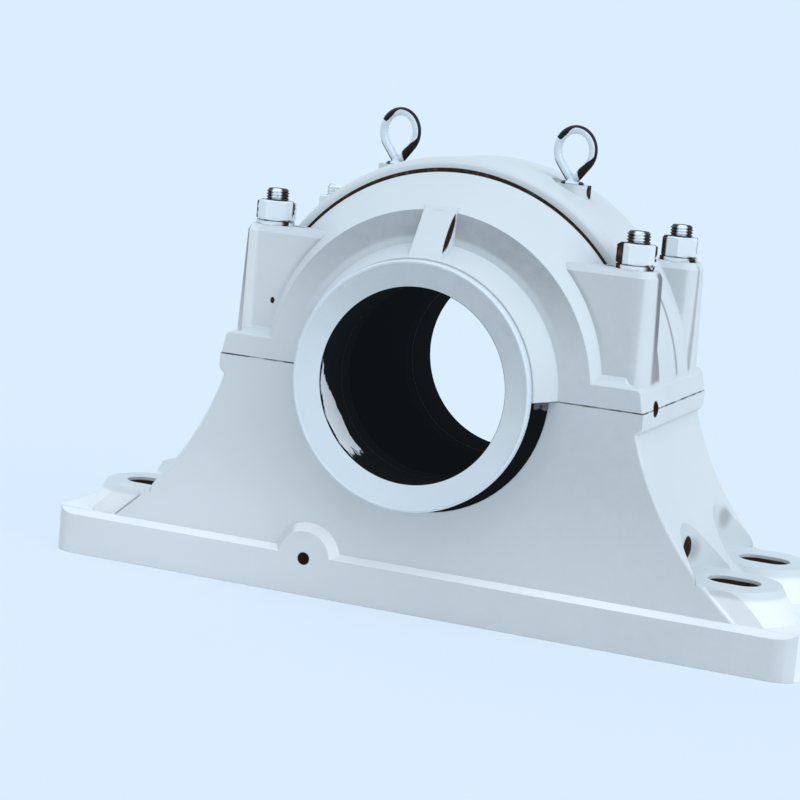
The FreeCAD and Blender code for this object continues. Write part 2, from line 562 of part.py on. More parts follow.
# %% Cap casting: flange, arch with sloping shoulders, stud lugs and bosses
def build_cap():
    body = new_body("cap_casting")

    profile = new_sketch(body, "flange_profile", "XZ_Plane", along="dims.centre_height")
    end = "(%s - dims.flange_lean)" % HALF_SPLIT
    outline(profile, [(minus(HALF_SPLIT), "0"), (HALF_SPLIT, "0"), (end, "dims.flange_height"),
                      (minus(end), "dims.flange_height")])
    flange = pad(body, "flange", profile, "dims.body_depth", symmetric=True)
    top, deep = size("dims.centre_height + dims.flange_height"), size(HALF_DEPTH)
    ends = edges_where(flange, lambda edge, middle: abs(middle.z - top) < 0.01 and abs(middle.y) < 1)
    rounded = dress(body, "Fillet", "flange_ends", flange, ends, "dims.flange_round")
    rims = edges_where(rounded, lambda edge, middle: abs(middle.z - top) < 0.01
                       and abs(abs(middle.y) - deep) < 0.01)
    dress(body, "Fillet", "flange_rims", rounded, rims, "dims.flange_edge")

    section = new_sketch(body, "arch_section", "YZ_Plane", along="dims.centre_height")
    line_end = "(%s - dims.line_width)" % SHOULDER_END
    side = [
        (HOOD_FRONT, "0"), (HOOD_FRONT, "dims.hub_radius - dims.hub_slope"),
        (FACE_PLANE, "dims.hub_radius"), (FACE_PLANE, "dims.face_radius"),
        (SHOULDER_END, "dims.shoulder_radius"),
        (SHOULDER_END, "dims.shoulder_radius - dims.line_depth"),
        (line_end, "dims.shoulder_radius - dims.line_depth"),
    ]
    foot, crown = "(dims.barrel_radius - dims.barrel_round)", "(%s - dims.barrel_round)" % line_end
    top = [(line_end, foot, "dims.barrel_round", 1), (crown, "dims.barrel_radius"),
           (minus(crown), "dims.barrel_radius", "dims.barrel_round", 1), (minus(line_end), foot)]
    rear = [(minus(along), radius) for along, radius in reversed(side)]
    outline(section, side + top + rear)
    turned(body, "Revolution", "arch", section, 180, True)

    bevel_start = "(dims.lug_height - dims.lug_bevel)"
    step = "(dims.lug_foot * 0.4)"
    lugs = [
        lug_stage(body, "lug", "0", bevel_start, "dims.lug_draft"),
        lug_stage(body, "lug_crown", bevel_start, "dims.lug_bevel", "dims.lug_bevel_angle",
                  "(%s * tan(dims.lug_draft))" % bevel_start),
        cove_stage(body, "lug_foot", "dims.flange_height", step, "59", "dims.lug_foot"),
        cove_stage(body, "lug_cove", "(dims.flange_height + %s)" % step, "(dims.lug_foot - %s)" % step, "29",
                   "(dims.lug_foot - %s * tan(59))" % step),
    ]
    mirrored(body, "lugs", lugs, ("YZ_Plane", "XZ_Plane"))

    seats = new_sketch(body, "boss_circles", "XY_Plane", lift="dims.centre_height + dims.seat_radius / 2")
    for sign in ("-", ""):
        disc(seats, sign + "dims.eye_span / 2", "0", "dims.eye_boss")
    pad(body, "eye_bosses", seats, "dims.eye_seat - dims.seat_radius / 2")
    spots = new_sketch(body, "spot_circles", "XY_Plane", lift="dims.centre_height + dims.eye_seat")
    for sign in ("-", ""):
        disc(spots, sign + "dims.eye_span / 2", "0", "dims.eye_boss + 1")
    pocket(body, "eye_spots", spots, "dims.barrel_radius - dims.eye_seat + 5", reversed=True)
    # a rib that slopes from the hood's front up to the shoulder
    feed = new_sketch(body, "feed_section", "YZ_Plane", along="dims.centre_height")
    front = "(%s - dims.feed_step)" % HOOD_FRONT
    root, tip = "(dims.hub_radius - dims.hub_slope)", "(dims.face_radius + dims.feed_rise)"
    outline(feed, [("0", root), (front, root), (FACE_PLANE + " - dims.feed_rise + 1", tip), ("0", tip)])
    rib = pad(body, "feed_rib", feed, "dims.feed_width", symmetric=True)
    mirrored(body, "feed_ribs", [rib], ("XZ_Plane",))

    bore = new_sketch(body, "bore_section", "YZ_Plane", along="dims.centre_height")
    bore_outline(bore, mouth=False)
    turned(body, "Groove", "bore", bore)

    holes = new_sketch(body, "stud_hole_circles", "XY_Plane", lift="dims.centre_height")
    for _, sx, _, sy in CORNERS:
        disc(holes, sx + STUD_X, sy + STUD_Y, "dims.stud_radius + dims.stud_play")
    pocket(body, "stud_holes", holes, "dims.lug_height + 1", reversed=True)

    pins = new_sketch(body, "pin_hole_circles", "XY_Plane", lift="dims.centre_height")
    for sign in ("-", ""):
        disc(pins, sign + "dims.pin_span / 2", sign + "dims.pin_offset", "dims.pin_radius + 0.02")
    pocket(body, "pin_holes", pins, "dims.pin_length / 2 + 1", reversed=True)

    eyes = new_sketch(body, "eye_hole_circles", "XY_Plane", lift="dims.centre_height + dims.eye_seat")
    for sign in ("-", ""):
        disc(eyes, sign + "dims.eye_span / 2", "0", "dims.eye_shank + dims.thread_room")
    pocket(body, "eye_holes", eyes, "dims.eye_shank_length + 1")
    cut_notches(body)
    return body


# %% Labyrinth ring and its rubber ring, for either side
def build_ring(name, front):
    """One-piece seal ring; it turns with the shaft in the castings' grooves."""
    body = new_body(name)
    section = new_sketch(body, "ring_section", "YZ_Plane", along="dims.centre_height")
    neck = "(dims.shaft_radius + dims.neck_wall)"
    fin = "(dims.race_radius - dims.seal_gap)"
    inner = "(%s - dims.ring_tail)" % CHAMBER_END
    fin_in = "(%s + dims.seal_gap)" % RACE_START
    fin_out = "(%s - dims.seal_gap)" % RACE_END
    groove = "((%s + %s) / 2)" % (FACE_PLANE, CHAMBER_END)
    room = "(dims.oring_radius + dims.oring_room)"
    floor = "(dims.shaft_radius + 2 * dims.oring_radius + 0.3)"
    rim_back = "(%s - dims.ring_rim)" % RING_FRONT
    mouth = "(%s - dims.ring_dish)" % RING_FRONT
    points = [
        (inner, "dims.shaft_radius"), (groove + " - " + room, "dims.shaft_radius"),
        (groove + " - " + room, floor), (groove + " + " + room, floor),
        (groove + " + " + room, "dims.shaft_radius"), (mouth, "dims.shaft_radius"),
        ("(%s - 1.2)" % RING_FRONT, "dims.ring_radius - 3.5"),
        (RING_FRONT, "dims.ring_radius - 2"), ("(%s - 2)" % RING_FRONT, "dims.ring_radius"),
        (rim_back, "dims.ring_radius"), (rim_back, neck),
        (fin_out, neck), (fin_out, fin), (fin_in, fin), (fin_in, neck), (inner, neck),
    ]
    if front:
        points = [(minus(along), radius) for along, radius in points]
    outline(section, points)
    turned(body, "Revolution", "turned_ring", section)
    return body


def build_rubber_ring(name, front):
    body = new_body(name)
    section = new_sketch(body, "rubber_section", "YZ_Plane", along="dims.centre_height")
    groove = "((%s + %s) / 2)" % (FACE_PLANE, CHAMBER_END)
    disc(section, minus(groove) if front else groove,
         "dims.shaft_radius + dims.oring_radius + 0.1", "dims.oring_radius")
    turned(body, "Revolution", "rubber_ring", section)
    return body


# %% Fasteners
def build_stud(name):
    body = new_body(name)
    section = new_sketch(body, "stud_section", "XZ_Plane")
    radius, slim = "dims.stud_radius", "(dims.stud_radius - dims.stud_chamfer)"
    top = STUD_LENGTH
    outline(section, [("0", "0"), (slim, "0"), (radius, "dims.stud_chamfer"),
                      (radius, top + " - dims.stud_chamfer"), (slim, top), ("0", top)])
    stud = body.newObject("PartDesign::Revolution", "stud")
    stud.Profile = section
    stud.ReferenceAxis = (section, ["V_Axis"])
    stud.Angle = 360
    doc.recompute()
    return body


def hex_head(body, flats, height, lift="0", bevel_below=True):
    """Hexagonal prism whose corners are turned off at 30 degrees."""
    plan = new_sketch(body, "hexagon", "XY_Plane", lift=lift)
    hexagon(plan, flats)
    pad(body, "prism", plan, height)
    bevel = new_sketch(body, "corner_bevel", "XZ_Plane", along=lift)
    inner, outer = "(%s * 0.47)" % flats, "(%s * 0.62)" % flats
    rise = "(%s * 0.15 * tan(30))" % flats
    top = "(%s)" % height
    outline(bevel, [(inner, top), (outer, top + " - " + rise), (outer, top + " + 1"), (inner, top + " + 1")])
    if bevel_below:
        outline(bevel, [(inner, "0"), (inner, "-1"), (outer, "-1"), (outer, rise)])
    groove = body.newObject("PartDesign::Groove", "bevels")
    groove.Profile = bevel
    groove.ReferenceAxis = (bevel, ["V_Axis"])
    groove.Angle = 360
    doc.recompute()
    return body


def build_nut(name):
    body = new_body(name)
    hex_head(body, "dims.nut_flats", "dims.nut_height")
    hole = new_sketch(body, "thread_circle", "XY_Plane")
    disc(hole, "0", "0", "dims.stud_radius + dims.thread_room")
    pocket(body, "thread", hole, "dims.nut_height + 1", reversed=True)
    return body


def build_washer(name, radius, bore, height):
    body = new_body(name)
    plan = new_sketch(body, "washer_plan", "XY_Plane")
    disc(plan, "0", "0", radius)
    disc(plan, "0", "0", bore)
    pad(body, "washer", plan, height)
    return body


def build_plug(name):
    """Plug along +Z, its sealing face at the body's own origin."""
    body = new_body(name)
    plan = new_sketch(body, "thread_plan", "XY_Plane")
    disc(plan, "0", "0", "dims.plug_radius")
    pad(body, "thread", plan, "dims.plug_length", reversed=True)
    collar = new_sketch(body, "collar_plan", "XY_Plane")
    disc(collar, "0", "0", "dims.plug_flats * 0.66")
    pad(body, "collar", collar, "3")
    hex_head(body, "dims.plug_flats", "dims.plug_head", lift="2", bevel_below=False)
    return body


def build_eyebolt(name):
    """Lifting eyebolt with a drop shaped eye, its seat at the body's own origin."""
    body = new_body(name)
    section = new_sketch(body, "shank_section", "XZ_Plane")
    apex = "(dims.eye_collar_height / 2)"
    middle = "(%s + dims.eye_ring / sin(dims.eye_spread))" % apex
    outline(section, [
        ("0", "-dims.eye_shank_length"), ("dims.eye_shank - 1", "-dims.eye_shank_length"),
        ("dims.eye_shank", "1 - dims.eye_shank_length"), ("dims.eye_shank", "0"),
        ("dims.eye_collar", "0"), ("dims.eye_collar", "dims.eye_collar_height - 1.5"),
        ("dims.eye_collar - 1.5", "dims.eye_collar_height"),
        ("dims.eye_bar + 3", "dims.eye_collar_height"), ("dims.eye_bar + 1", "dims.eye_collar_height + 2"),
        ("dims.eye_bar - 1", "dims.eye_collar_height + 6"), ("0", "dims.eye_collar_height + 6"),
    ])
    shank = body.newObject("PartDesign::Revolution", "shank")
    shank.Profile = section
    shank.ReferenceAxis = (section, ["V_Axis"])
    shank.Angle = 360
    doc.recompute()
    path = new_sketch(body, "eye_path", "XZ_Plane")
    touch_x = "(dims.eye_ring * cos(dims.eye_spread))"
    touch_z = "(%s - dims.eye_ring * sin(dims.eye_spread))" % middle
    top = "(%s + dims.eye_ring)" % middle
    outline(path, [("0", apex), (touch_x, touch_z, "dims.eye_ring", 1),
                   ("0", top, "dims.eye_ring", 1), ("-" + touch_x, touch_z)])
    bar = new_sketch(body, "eye_bar_section", "YZ_Plane", along=top)
    disc(bar, "0", "0", "dims.eye_bar")
    eye = body.newObject("PartDesign::AdditivePipe", "eye")
    eye.Profile = bar
    eye.Spine = (path, ["Edge2", "Edge3", "Edge4", "Edge1"])
    eye.Transition = "Right corner"
    doc.recompute()
    return body


def build_pin(name):
    body = new_body(name)
    plan = new_sketch(body, "pin_plan", "XY_Plane")
    disc(plan, "0", "0", "dims.pin_radius")
    pin = pad(body, "pin", plan, "dims.pin_length")
    dress(body, "Chamfer", "pin_ends", pin,
          edges_where(pin, lambda edge, middle: edge.Closed), "1")
    return body


base = build_base()
cap = build_cap()
for side, front in (("front", True), ("rear", False)):
    build_ring(side + "_labyrinth_ring", front)
    build_rubber_ring(side + "_rubber_ring", front)

makers = [
    ("cap_stud", lambda name: build_stud(name), STUD_FOOT),
    ("stud_washer", lambda name: build_washer(name, "dims.washer_radius", "dims.stud_radius + 0.5",
                                              "dims.washer_height"), LUG_TOP),
    ("cap_nut", lambda name: build_nut(name), NUT_SEAT),
]
for kind, make, height in makers:
    for side, sx, end, sy in CORNERS:
        piece = make("%s_%s_%s" % (kind, end, side))
        turn = None if kind != "cap_nut" else "dims.nut_turn" if end == "front" else "-dims.nut_turn"
        place(piece, sx + STUD_X, sy + STUD_Y, height, turn, (0, 0, 1))

for side, sign in (("left", "-"), ("right", "")):
    place(build_eyebolt("eyebolt_" + side), sign + "dims.eye_span / 2", "0",
          "dims.centre_height + dims.eye_seat", "-dims.eye_turn", (0, 0, 1))

for side, sign in (("left", "-"), ("right", "")):
    place(build_pin("dowel_pin_" + side), sign + "dims.pin_span / 2", sign + "dims.pin_offset",
          "dims.centre_height - dims.pin_length / 2")

place(build_washer("drain_plug_washer", "dims.plug_washer", "dims.plug_radius + 0.4",
                   "dims.plug_washer_height"), "dims.drain_offset", HALF_FOOT,
      "dims.drain_height", "-90", (1, 0, 0))
place(build_plug("drain_plug"), "dims.drain_offset", HALF_FOOT + " + dims.plug_washer_height",
      "dims.drain_height", "-90", (1, 0, 0))

# %% Check every object and write the sub-parts
doc.recompute()
for item in doc.Objects:
    if "Invalid" in item.State or "Error" in item.State:
        raise RuntimeError("%s is %s" % (item.Name, item.State))
for body in SUB_PARTS:
    shape = body.Shape
    if shape.isNull() or not shape.isValid() or len(shape.Solids) != 1:
        raise RuntimeError("%s has no valid single solid" % body.Label)
    shape.exportStep("parts/%s.step" % body.Label)
    print("%-26s %9.1f cm3" % (body.Label, shape.Volume / 1000))
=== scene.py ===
# %% [markdown]
# # A pillow block housing, dressed for its portrait
#
# The solids come ready made: a split cast housing for a 200 mm shaft, with its
# labyrinth rings, studs, nuts and eyebolts. This lesson gives each piece its
# finish, cuts threads on the studs, and sets up a camera and a plain studio.

# %% Load the frame
import math

import bpy
from mathutils import Matrix, Vector


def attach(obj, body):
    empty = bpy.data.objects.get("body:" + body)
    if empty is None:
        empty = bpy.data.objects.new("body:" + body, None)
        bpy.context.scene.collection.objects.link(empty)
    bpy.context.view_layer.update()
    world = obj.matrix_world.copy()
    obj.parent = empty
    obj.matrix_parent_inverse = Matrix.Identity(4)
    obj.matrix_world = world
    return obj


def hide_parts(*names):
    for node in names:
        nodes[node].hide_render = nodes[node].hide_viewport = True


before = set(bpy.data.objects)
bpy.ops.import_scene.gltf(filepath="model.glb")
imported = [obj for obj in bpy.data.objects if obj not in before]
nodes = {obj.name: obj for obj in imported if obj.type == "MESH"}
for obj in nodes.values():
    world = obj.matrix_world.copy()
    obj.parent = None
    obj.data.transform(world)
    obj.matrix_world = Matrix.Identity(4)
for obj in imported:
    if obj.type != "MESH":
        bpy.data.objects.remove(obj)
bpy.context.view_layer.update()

scene = bpy.context.scene

# %% [markdown]
# ## Camera
#
# The photograph was taken with a long lens from a little to the right and a
# little above, and the camera was not level. Azimuth, elevation and roll are
# three rotations, one after the other, so the camera's matrix is their product
# and a shift to where the camera stood.

# %% Camera
AZIMUTH, ELEVATION, ROLL = math.radians(21.3), math.radians(8.7), math.radians(5.2)
CAMERA_PLACE = Vector((0.8517, -2.3662, 0.5877))
LENS, SENSOR, FARTHEST = 107.4, 36.0, 60.0

camera = bpy.data.objects.new("camera", bpy.data.cameras.new("camera"))
scene.collection.objects.link(camera)
camera.data.lens = LENS
camera.data.sensor_width = SENSOR
camera.data.clip_end = FARTHEST
camera.matrix_world = (Matrix.Translation(CAMERA_PLACE)
                       @ Matrix.Rotation(AZIMUTH, 4, "Z")
                       @ Matrix.Rotation(math.pi / 2 - ELEVATION, 4, "X")
                       @ Matrix.Rotation(ROLL, 4, "Z"))
scene.camera = camera
print("camera at", tuple(round(c, 3) for c in CAMERA_PLACE))

# %% [markdown]
# ## Shader maths as plain expressions
#
# A finish is mostly arithmetic on masks: one minus the dirt, the noise times
# the wear. A small class wraps a socket, and its operators add Math nodes, so
# that the finishes below read like formulas. `|` is the larger of two masks.

# %% Sockets that can be added and multiplied
class Wire:
    """An output socket in a node tree; its operators add Math nodes."""

    def __init__(self, tree, socket):
        self.tree, self.socket = tree, socket

    def __add__(self, other):
        return self.tree.math("ADD", self, other)

    def __radd__(self, other):
        return self.tree.math("ADD", other, self)

    def __sub__(self, other):
        return self.tree.math("SUBTRACT", self, other)

    def __rsub__(self, other):
        return self.tree.math("SUBTRACT", other, self)

    def __mul__(self, other):
        return self.tree.math("MULTIPLY", self, other)

    def __rmul__(self, other):
        return self.tree.math("MULTIPLY", other, self)

    def __pow__(self, other):
        return self.tree.math("POWER", self, other)

    def __or__(self, other):
        return self.tree.math("MAXIMUM", self, other)

    def __abs__(self):
        return self.tree.math("ABSOLUTE", self)


class Tree:
    """A node tree under construction."""

    def __init__(self, node_tree):
        self.nodes, self.links = node_tree.nodes, node_tree.links

    def add(self, kind, settings, values, out=0):
        """Add a node: its settings, then the values or wires of its sockets."""
        node = self.nodes.new(kind)
        for key, value in settings.items():
            setattr(node, key, value)
        for key, value in values.items():
            self.feed(node.inputs[key], value)
        return Wire(self, node.outputs[out])

    def math(self, operation, *values):
        return self.add("ShaderNodeMath", {"operation": operation}, dict(enumerate(values)))

    def feed(self, socket, value):
        if isinstance(value, Wire):
            self.links.new(value.socket, socket)
        elif isinstance(value, tuple) and len(value) == 3 and socket.type == "RGBA":
            socket.default_value = (*value, 1.0)
        else:
            socket.default_value = value


# %% [markdown]
# Every finish starts from the same few questions: how far is this point above a
# limit, between two limits, from a line, or inside an ellipsoid, and does it lie
# in a corner or on an edge? Each answer is a mask from 0 to 1 with a soft side.

# %% Finish
class Finish(Tree):
    """A material under construction, with the masks that finishes are made of."""

    def __init__(self, name):
        self.material = bpy.data.materials.new(name)
        self.material.use_nodes = True
        super().__init__(self.material.node_tree)
        self.shader = self.nodes["Principled BSDF"]
        self.place = self.add("ShaderNodeTexCoord", {}, {}, out="Object")
        split = self.add("ShaderNodeSeparateXYZ", {}, {0: self.place}).socket.node
        self.x, self.y, self.z = (Wire(self, socket) for socket in split.outputs)

    def noise(self, scale, detail=4.0, roughness=0.55, place=None):
        return self.add("ShaderNodeTexNoise", {},
                        {"Vector": place or self.place, "Scale": scale, "Detail": detail,
                         "Roughness": roughness})

    def step(self, wire, low, high):
        """Smooth step from 0 at low to 1 at high."""
        return self.add("ShaderNodeMapRange", {"interpolation_type": "SMOOTHSTEP"},
                        {"Value": wire, "From Min": low, "From Max": high})

    def over(self, wire, limit, soft):
        """1 above a limit, 0 below it."""
        return self.step(wire, limit - soft, limit + soft)

    def under(self, wire, limit, soft):
        """1 below a limit, 0 above it."""
        return self.step(wire, limit + soft, limit - soft)

    def within(self, wire, low, high, soft=0.0004):
        """1 between two values, 0 outside them."""
        return self.over(wire, low, soft) * self.under(wire, high, soft)

    def distance(self, first, second, first_middle=0.0, second_middle=0.0):
        """Distance from a line along the third axis."""
        first, second = first - first_middle, second - second_middle
        return (first * first + second * second) ** 0.5

    def blob(self, centre, radii, tilt=0.0, fade=0.35):
        """1 inside an ellipsoid, fading to 0 round it; tilt leans its top towards +Y."""
        away = self.add("ShaderNodeVectorMath", {"operation": "SUBTRACT"}, {0: self.place, 1: centre})
        if tilt:
            away = self.add("ShaderNodeVectorRotate", {"rotation_type": "X_AXIS"},
                            {"Vector": away, "Angle": math.radians(tilt)})
        scaled = self.add("ShaderNodeVectorMath", {"operation": "DIVIDE"}, {0: away, 1: radii})
        size = self.add("ShaderNodeVectorMath", {"operation": "LENGTH"}, {0: scaled}, out="Value")
        return self.under(size, 1.0, fade)

    def blend(self, factor, first, second):
        """Mix of two colours."""
        return self.add("ShaderNodeMix", {"data_type": "RGBA"}, {0: factor, 6: first, 7: second}, out=2)

    def facing(self, axis):
        """How far the surface faces along an axis, 0 for x to 2 for z."""
        normal = self.add("ShaderNodeNewGeometry", {}, {}, out="Normal")
        return self.add("ShaderNodeSeparateXYZ", {}, {0: normal}, out=axis)

    def creases(self, distance, samples=6):
        """1 deep in a corner, 0 out in the open."""
        return 1.0 - self.add("ShaderNodeAmbientOcclusion", {"samples": samples},
                              {"Distance": distance}, out="AO")

    def edges(self, radius, samples=4):
        """1 on a sharp edge, 0 on a flat face: where the rounded normal turns from the plain one."""
        rounded = self.add("ShaderNodeBevel", {"samples": samples}, {"Radius": radius})
        plain = self.add("ShaderNodeNewGeometry", {}, {}, out="Normal")
        turn = self.add("ShaderNodeVectorMath", {"operation": "DOT_PRODUCT"},
                        {0: rounded, 1: plain}, out="Value")
        return self.step(turn, 0.995, 0.90)

    def coat(self, mask, colour):
        """Cover the mask with a second shader that mirrors nothing and glows faintly in its own colour,
        painted light that keeps it from getting quite black.
        """
        output = self.nodes["Material Output"].inputs["Surface"]
        second = self.add("ShaderNodeBsdfPrincipled", {},
                          {"Base Color": colour, "Roughness": 0.9, "Specular IOR Level": 0.0,
                           "Emission Color": colour, "Emission Strength": 0.8})
        below = Wire(self, output.links[0].from_socket)
        self.feed(output, self.add("ShaderNodeMixShader", {}, {0: mask, 1: below, 2: second}))

    def finish(self, colour, roughness, bump, strength=0.2, rounding=0.0, **values):
        """Join colour, roughness and relief to the shader; rounding softens the edges' shading."""
        self.feed(self.shader.inputs["Base Color"], colour)
        self.feed(self.shader.inputs["Roughness"], roughness)
        sockets = {"Strength": strength, "Distance": 0.001, "Height": bump}
        if rounding:
            sockets["Normal"] = self.add("ShaderNodeBevel", {"samples": 6}, {"Radius": rounding})
        self.feed(self.shader.inputs["Normal"], self.add("ShaderNodeBump", {}, sockets))
        for name, value in values.items():
            self.feed(self.shader.inputs[name.replace("_", " ")], value)
        return self.material


# %% [markdown]
# ## Grey paint on cast iron
#
# The castings wear one coat of pale grey paint with a cool tint. Sand from the
# mould still shows through it as a faint unevenness, corners hold a little
# dust and painted shade, and sharp edges are rubbed. All of that is noise and
# two masks.

# %% Colours
PAINT_PALE, PAINT_DEEP, PAINT_RUBBED = (0.68, 0.727, 0.743), (0.64, 0.687, 0.703), (0.74, 0.79, 0.82)
RING_PALE, RING_DEEP = (0.70, 0.77, 0.81), (0.655, 0.73, 0.77)
NUT_PALE, NUT_DEEP = (0.80, 0.86, 0.90), (0.73, 0.79, 0.83)
CREASE_DUST_SHADE, PAINTED_LIGHT, SHADE_FILM = (0.30, 0.29, 0.27), (0.94, 0.96, 0.97), (0.32, 0.345, 0.355)
BORE_SHADE, GRIME_AND_SHADE, SOOT_AND_SHADE = (0.0055, 0.0072, 0.0085), (0.045, 0.03, 0.022), (0.016, 0.011, 0.009)
SHADE, LIT_GAP_GREY = (0.15, 0.145, 0.16), (0.52, 0.54, 0.55)
RUST, RAW_IRON = (0.048, 0.028, 0.019), (0.11, 0.105, 0.10)


# %% Paint
class Paint(Finish):
    """Paint over cast iron; other layers can be laid over its colour."""

    def __init__(self, name, pale=PAINT_PALE, deep=PAINT_DEEP, grain=1.0):
        super().__init__(name)
        cloud = self.noise(5.0, 3.0)
        self.speck = self.noise(90.0, 5.0, 0.6)
        sand = self.noise(420.0, 3.0, 0.6)
        self.colour = self.blend(self.step(cloud, 0.35, 0.7), pale, deep)
        # Dust and painted shade in the corners, from ambient occlusion.
        dust_and_shade = self.creases(0.010) * self.step(self.speck, 0.3, 0.65)
        self.lay(dust_and_shade * 0.10, CREASE_DUST_SHADE)
        self.lay(self.edges(0.0015) * self.step(self.speck, 0.42, 0.56) * 0.8, PAINT_RUBBED)
        self.rough = 0.40 + 0.12 * self.speck + 0.2 * dust_and_shade
        self.height = sand * 0.22 * grain + self.speck * 0.5 * grain

    def lay(self, mask, colour, rough=None):
        """Cover the mask with another colour and roughness."""
        self.colour = self.blend(mask, self.colour, colour)
        if rough is not None:
            self.rough = self.rough * (1.0 - mask) + mask * rough

    def blacken(self, mask):
        """Blacken the mask, brown where specks of rust come through; used for dark marks and for painted
        shade.
        """
        self.coat(mask, self.blend(self.step(self.speck, 0.52, 0.70), SOOT_AND_SHADE, RUST))

    def done(self, **values):
        return self.finish(self.colour, self.rough, self.height, 0.22, **values)


# %% [markdown]
# ## Painted shade and marks on the castings
#
# The bore and its labyrinth are near black, as painted shade; the split shows as
# a thin dark line, and the groove beside the barrel is blackened. These places
# are known from the drawing, so each is a mask on the object's own coordinates:
# a radius from the bore's axis, a height, a distance from a hole.

# %% Places on the castings, in metres
AXIS_HEIGHT = 0.240
BORE_STEPS = [(0.2004, 0.08225), (0.1339, 0.1168), (0.11335, 0.1530)]  # radius, half length
MOUTH_RADII, MOUTH_START, LIT_PATCH_HEIGHTS = (0.1134, 0.1345), 0.09825, (0.2268, 0.2402)
GROOVE_ALONG, GROOVE_RADIUS = (0.0660, 0.0704), 0.2169
SLOT_ACROSS, SLOT_ALONG, SLOT_TOP = (0.3014, 0.3566), (0.0455, 0.0825), 0.0756
DRAIN_ACROSS, DRAIN_HEIGHT, DRAIN_RADIUS, DRAIN_END = 0.1128, 0.039, 0.00755, 0.1277
POCKET_ACROSS, POCKET_ALONG, POCKET_TOP = (0.155, 0.270), 0.0864, 0.0668


class Casting(Paint):
    """Paint that knows a point's reach from the bore's axis, and how far it lies along and across."""

    def __init__(self, name):
        super().__init__(name)
        self.reach = self.distance(self.x, self.z, 0.0, AXIS_HEIGHT)
        self.along, self.across = abs(self.y), abs(self.x)

    def front(self):
        """1 on faces that look to the front."""
        return self.step(self.facing(1), -0.85, -0.97)

    def bore(self):
        """Every step of the bore."""
        steps = 0.0
        for radius, end in BORE_STEPS:
            steps = self.under(self.reach, radius, 0.0002) * self.under(self.along, end, 0.0002) | steps
        return steps

    def lit_mouth_patch(self):
        """Painted light: a grey patch in the gap round the ring, just under the split, where the bore's
        painted shade is left off.
        """
        ragged = self.z + 0.008 * (self.speck - 0.5)
        return (self.within(ragged, *LIT_PATCH_HEIGHTS, 0.0010) * self.over(self.along, MOUTH_START, 0.00025)
                * self.within(self.reach, *MOUTH_RADII))

    def seam(self):
        """The split between base and cap, worn thin in places."""
        worn = self.step(self.noise(34.0, 3.0), 0.28, 0.62) * 0.8 + 0.2
        return self.under(abs(self.z - AXIS_HEIGHT), 0.0008, 0.0003) * worn

    def groove(self):
        """Near black in the groove beside the barrel, narrower towards the right."""
        narrowed = self.reach + 0.014 * (self.x | 0.0)
        return (self.within(self.along, *GROOVE_ALONG) * self.under(narrowed, GROOVE_RADIUS, 0.0003)
                * self.over(self.z, AXIS_HEIGHT + 0.0010, 0.0005))

    # Painted shade: the foot slots are blackened.
    def slots(self):
        return (self.within(self.across, *SLOT_ACROSS) * self.within(self.along, *SLOT_ALONG)
                * self.under(self.z, SLOT_TOP, 0.0004))

    def drains(self):
        """Both drain holes, front left and rear right, blackened as painted shade."""
        sided = self.x * self.math("SIGN", self.y)
        return (self.under(self.distance(sided, self.z, DRAIN_ACROSS, DRAIN_HEIGHT), DRAIN_RADIUS, 0.00025)
                * self.under(self.along, DRAIN_END, 0.0005))

    def unpainted(self):
        """The underside and the pockets in it."""
        below = self.under(self.facing(2), -0.7, 0.1) * self.under(self.z, 0.0008, 0.0002)
        pockets = (self.within(self.across, *POCKET_ACROSS) * self.under(self.along, POCKET_ALONG, 0.0004)
                   * self.under(self.z, POCKET_TOP, 0.0004))
        return below | pockets


# %% [markdown]
# Painted light and shade make the big faces differ: a painted shadow under the
# hood, the whole front darker more and more towards the right, painted light
# low on the front, and more painted light on faces turned up or to the right:
# on the foot's ledge, over the drain and on top of both ends of the foot.

# %% Painted light and shade
HOOD_RADII, FOOT_TOP, FOOT_FACE = (0.150, 0.190), 0.0925, 0.1171


def painted_light_and_shade(make):
    # Painted shadow under the hood; the whole front is also darker towards the right.
    hood = make.within(make.reach, *HOOD_RADII, 0.003) * make.over(make.z, 0.335, 0.065)
    rightwards = make.over(make.x, 0.0, 0.30)
    front_shade = (hood * 0.6 + rightwards * 0.36) * (0.75 + 0.5 * make.speck)
    make.lay(make.front() * front_shade, SHADE_FILM)
    # Painted light low on the front.
    make.lay(make.front() * make.under(make.z, 0.125, 0.065) * 0.25, PAINTED_LIGHT)
    # Painted light on faces turned up or to the right, over the ledge and the drain.
    lit_faces = 0.7 * (make.facing(2) + make.facing(0) * make.under(make.across, 0.290, 0.010))
    thinner = 1.0 - 0.35 * make.over(make.across, 0.280, 0.060)
    make.lay(make.over(lit_faces, 0.235, 0.115) * make.under(make.z, FOOT_TOP, 0.0075)
             * make.over(make.along, FOOT_FACE, 0.0003) * thinner, PAINTED_LIGHT, 0.6)
    # Painted light on top of both ends of the foot.
    on_top = (make.over(make.across, 0.280, 0.005) * make.under(make.z, 0.07125, 0.00225)
              * make.under(make.along, 0.1160, 0.0005))
    make.lay(on_top * 0.7, PAINTED_LIGHT)


# %% [markdown]
# Thin lines of painted shade run along the forms: beside the right lugs and
# the barrel, down the left lug's outer corner and over the left toe, with a band
# of painted light just inside that corner. The ones on the front lugs grow
# stronger upwards.

# %% Thin lines
LUG_HEIGHTS, CORNER_HEIGHTS = (0.2655, 0.3760), (0.2655, 0.3780)
BARREL_RADIUS, TOE_ALONG, TOE_HEIGHTS = 0.2269, (0.1140, 0.1166), (0.0480, 0.0740)


